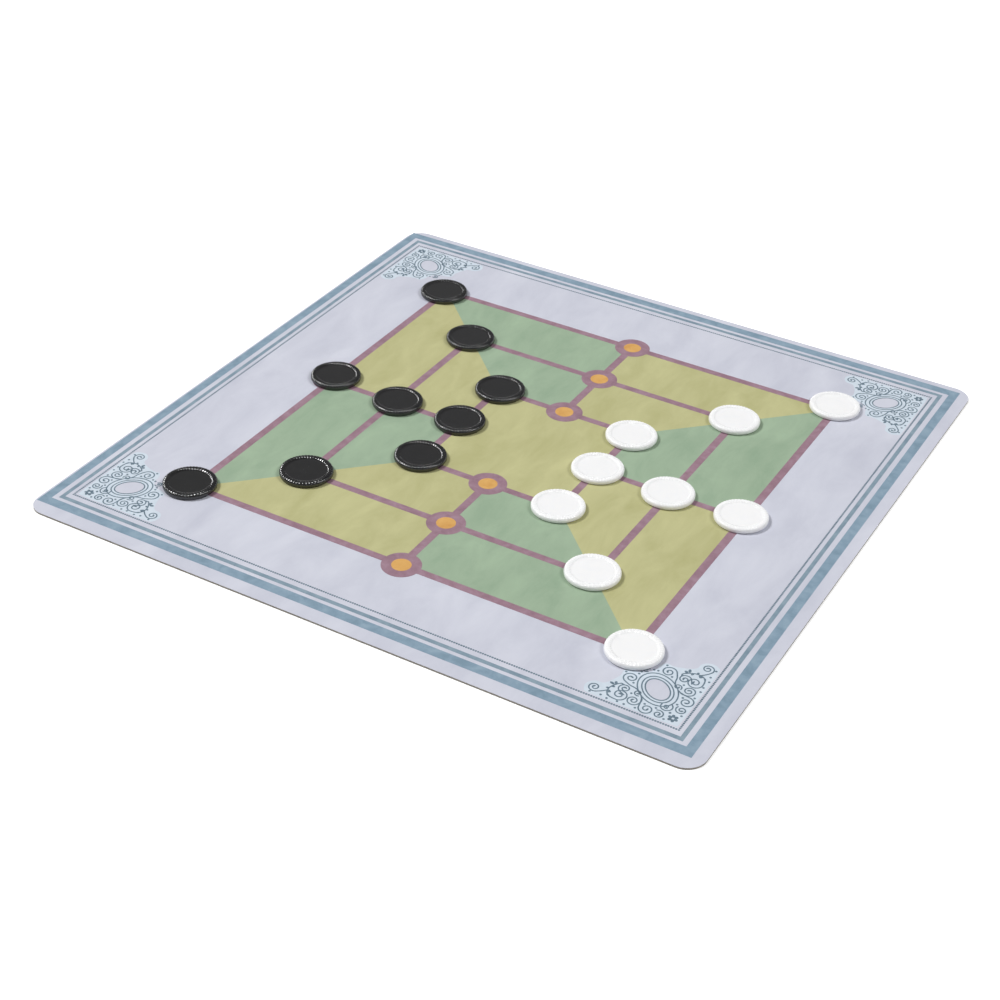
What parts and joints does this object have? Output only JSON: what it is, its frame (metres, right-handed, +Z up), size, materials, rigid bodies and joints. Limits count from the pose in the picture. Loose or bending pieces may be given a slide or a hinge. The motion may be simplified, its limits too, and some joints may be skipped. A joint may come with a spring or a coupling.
{
  "type": "nine men's morris board with counters",
  "caption": "Flat square printed card board for nine men's morris, with rounded corners, holding two sides of thin round plastic counters with reeded rims.",
  "frame": {"origin": "centre of the board's underside", "axes": "+X to the board's right edge, +Y to its far edge, +Z up out of the printed face"},
  "size_m": [0.263, 0.263, 0.003],
  "materials": {
    "printed_paper": "matt varnished litho print, mottled pale blue-grey",
    "greyboard": "raw cut edge",
    "plain_paper": "uncoated white lining paper",
    "black_plastic": "moulded polystyrene, satin gloss",
    "white_plastic": "moulded polystyrene, satin gloss"
  },
  "bodies": {
    "board": {"backing_paper": "plain_paper", "greyboard_core": "greyboard", "printed_face_paper": "printed_paper"},
    "black_1": {"black_counter_1": "black_plastic"},
    "black_2": {"black_counter_2": "black_plastic"},
    "black_3": {"black_counter_3": "black_plastic"},
    "black_4": {"black_counter_4": "black_plastic"},
    "black_5": {"black_counter_5": "black_plastic"},
    "black_6": {"black_counter_6": "black_plastic"},
    "black_7": {"black_counter_7": "black_plastic"},
    "black_8": {"black_counter_8": "black_plastic"},
    "black_9": {"black_counter_9": "black_plastic"},
    "white_1": {"white_counter_1": "white_plastic"},
    "white_2": {"white_counter_2": "white_plastic"},
    "white_3": {"white_counter_3": "white_plastic"},
    "white_4": {"white_counter_4": "white_plastic"},
    "white_5": {"white_counter_5": "white_plastic"},
    "white_6": {"white_counter_6": "white_plastic"},
    "white_7": {"white_counter_7": "white_plastic"},
    "white_8": {"white_counter_8": "white_plastic"},
    "white_9": {"white_counter_9": "white_plastic"}
  },
  "joints": [
    {"name": "black_counter_1_lift", "type": "slide", "parent": "board", "child": "black_1", "axis": [0, 0, 1], "range_m": [0, 0.04]},
    {"name": "black_counter_2_lift", "type": "slide", "parent": "board", "child": "black_2", "axis": [0, 0, 1], "range_m": [0, 0.04]},
    {"name": "black_counter_3_lift", "type": "slide", "parent": "board", "child": "black_3", "axis": [0, 0, 1], "range_m": [0, 0.04]},
    {"name": "black_counter_4_lift", "type": "slide", "parent": "board", "child": "black_4", "axis": [0, 0, 1], "range_m": [0, 0.04]},
    {"name": "black_counter_5_lift", "type": "slide", "parent": "board", "child": "black_5", "axis": [0, 0, 1], "range_m": [0, 0.04]},
    {"name": "black_counter_6_lift", "type": "slide", "parent": "board", "child": "black_6", "axis": [0, 0, 1], "range_m": [0, 0.04]},
    {"name": "black_counter_7_lift", "type": "slide", "parent": "board", "child": "black_7", "axis": [0, 0, 1], "range_m": [0, 0.04]},
    {"name": "black_counter_8_lift", "type": "slide", "parent": "board", "child": "black_8", "axis": [0, 0, 1], "range_m": [0, 0.04]},
    {"name": "black_counter_9_lift", "type": "slide", "parent": "board", "child": "black_9", "axis": [0, 0, 1], "range_m": [0, 0.04]},
    {"name": "white_counter_1_lift", "type": "slide", "parent": "board", "child": "white_1", "axis": [0, 0, 1], "range_m": [0, 0.04]},
    {"name": "white_counter_2_lift", "type": "slide", "parent": "board", "child": "white_2", "axis": [0, 0, 1], "range_m": [0, 0.04]},
    {"name": "white_counter_3_lift", "type": "slide", "parent": "board", "child": "white_3", "axis": [0, 0, 1], "range_m": [0, 0.04]},
    {"name": "white_counter_4_lift", "type": "slide", "parent": "board", "child": "white_4", "axis": [0, 0, 1], "range_m": [0, 0.04]},
    {"name": "white_counter_5_lift", "type": "slide", "parent": "board", "child": "white_5", "axis": [0, 0, 1], "range_m": [0, 0.04]},
    {"name": "white_counter_6_lift", "type": "slide", "parent": "board", "child": "white_6", "axis": [0, 0, 1], "range_m": [0, 0.04]},
    {"name": "white_counter_7_lift", "type": "slide", "parent": "board", "child": "white_7", "axis": [0, 0, 1], "range_m": [0, 0.04]},
    {"name": "white_counter_8_lift", "type": "slide", "parent": "board", "child": "white_8", "axis": [0, 0, 1], "range_m": [0, 0.04]},
    {"name": "white_counter_9_lift", "type": "slide", "parent": "board", "child": "white_9", "axis": [0, 0, 1], "range_m": [0, 0.04]}
  ]
}
